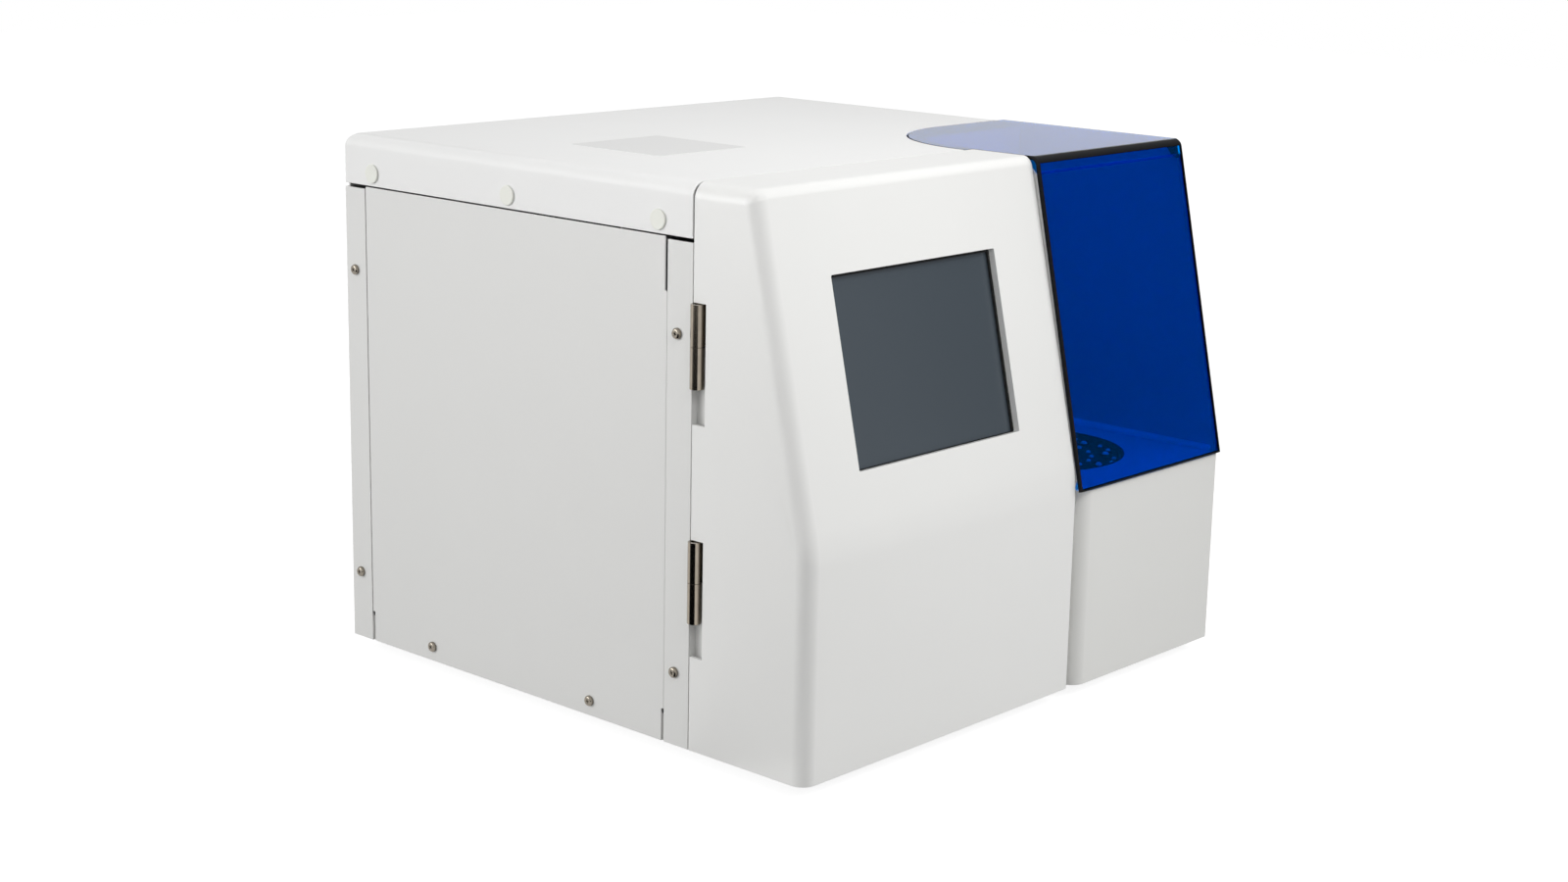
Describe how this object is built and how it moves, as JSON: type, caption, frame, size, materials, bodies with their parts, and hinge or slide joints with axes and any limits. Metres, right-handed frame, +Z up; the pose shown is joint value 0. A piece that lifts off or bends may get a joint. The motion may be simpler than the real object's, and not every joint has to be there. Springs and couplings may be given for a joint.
{
  "type": "glycated hemoglobin analyzer",
  "caption": "Bench analyzer for glycated hemoglobin: white cabinet, hinged front door with a tilted touch display, blue flip-up lid over a round sample carousel.",
  "frame": {"origin": "centre of the overall box, on the plane that the feet stand on", "axes": "+X to the right as one faces the door, +Y to the back, +Z up"},
  "size_m": [0.494, 0.4992, 0.41],
  "materials": {
    "cabinet_paint": "fine textured powder coat, off-white",
    "shell_white": "satin painted moulding, white",
    "cap_white": "satin nylon, warm white",
    "nickel_steel": "dull nickel plate",
    "steel_rod": "ground stainless steel",
    "blue_acrylic": "polished transparent blue acrylic sheet",
    "display_glass": "polished touch panel face",
    "black_plastic": "matt black",
    "grey_plastic": "satin dark grey",
    "aluminium": "milled aluminium",
    "foot_rubber": "matt black rubber",
    "circuit_board": "green solder mask"
  },
  "bodies": {
    "cabinet": {"analysis_column": "steel_rod", "base_pan": "cabinet_paint", "bay_left_wall": "cabinet_paint", "bay_rear_wall": "cabinet_paint", "bay_top_frame": "shell_white", "carousel_bowl": "shell_white", "carousel_motor": "black_plastic", "column_oven": "aluminium", "control_board": "circuit_board", "detector_unit": "cap_white", "fan_frame": "black_plastic", "fluid_port_block": "cap_white", "fluidics_panel": "cabinet_paint", "foot_front_left": "foot_rubber", "foot_front_right": "foot_rubber", "foot_rear_left": "foot_rubber", "foot_rear_right": "foot_rubber", "front_post": "cabinet_paint", "hinge_lower_pin": "nickel_steel", "hinge_lower_post_half": "nickel_steel", "hinge_upper_pin": "nickel_steel", "hinge_upper_post_half": "nickel_steel", "injection_valve": "black_plastic", "left_side_panel": "cabinet_paint", "lid_hinge_bracket": "nickel_steel", "lid_hinge_pin": "nickel_steel", "lower_right_cover": "shell_white", "power_inlet": "black_plastic", "power_supply": "aluminium", "pump_unit": "aluminium", "rear_panel": "cabinet_paint", "rear_post": "cabinet_paint", "right_side_panel": "cabinet_paint", "sample_deck": "cabinet_paint", "sampler_tower": "cabinet_paint", "side_cap_front": "cap_white", "side_cap_middle": "cap_white", "side_cap_rear": "cap_white", "side_screw_base_front": "nickel_steel", "side_screw_base_rear": "nickel_steel", "side_screw_front_lower": "nickel_steel", "side_screw_front_upper": "nickel_steel", "side_screw_rear_lower": "nickel_steel", "side_screw_rear_upper": "nickel_steel", "top_cover": "cabinet_paint"},
    "door": {"front_door_shell": "shell_white", "display_glass": "display_glass", "display_housing": "black_plastic", "hinge_upper_door_half": "nickel_steel", "hinge_lower_door_half": "nickel_steel"},
    "lid": {"sample_lid": "blue_acrylic", "lid_hinge_frame": "nickel_steel"},
    "carousel": {"carousel_rotor": "grey_plastic", "carousel_shaft": "steel_rod"},
    "screw": {"lead_screw": "steel_rod"},
    "carriage": {"needle_carriage": "cap_white", "sample_needle": "steel_rod"},
    "valve": {"valve_rotor": "steel_rod"},
    "fan": {"fan_rotor": "black_plastic"},
    "rocker": {"power_rocker": "grey_plastic"}
  },
  "joints": [
    {"name": "door_hinge", "type": "hinge", "parent": "cabinet", "child": "door", "pos_m": [-0.24235, -0.14, 0.01], "axis": [0, 0, -1], "range_deg": [0, 110]},
    {"name": "lid_hinge", "type": "hinge", "parent": "cabinet", "child": "lid", "pos_m": [0.18265, 0.0155, 0.396], "axis": [-1, 0, 0], "range_deg": [0, 80]},
    {"name": "carousel_spin", "type": "hinge", "parent": "cabinet", "child": "carousel", "pos_m": [0.14065, -0.1375, 0.1648], "axis": [0, 0, 1], "continuous": true},
    {"name": "lead_screw_spin", "type": "hinge", "parent": "cabinet", "child": "screw", "pos_m": [0.07485, -0.05946, 0.38], "axis": [0, 0, 1], "range_deg": [0, 2162]},
    {"name": "needle_travel", "type": "slide", "parent": "cabinet", "child": "carriage", "axis": [0, 0, 1], "range_m": [-0.06, 0]},
    {"name": "valve_turn", "type": "hinge", "parent": "cabinet", "child": "valve", "pos_m": [-0.17735, -0.0925, 0.135], "axis": [0, 1, 0], "range_deg": [0, 60]},
    {"name": "fan_spin", "type": "hinge", "parent": "cabinet", "child": "fan", "pos_m": [-0.01235, 0.2085, 0.3], "axis": [0, 1, 0], "continuous": true},
    {"name": "power_switch", "type": "hinge", "parent": "cabinet", "child": "rocker", "pos_m": [0.17765, 0.2351, 0.0925], "axis": [1, 0, 0], "range_deg": [0, 14]}
  ],
  "couplings": [
    {"joint": "lead_screw_spin", "follows": "needle_travel", "rad_per_m": -628.32}
  ]
}
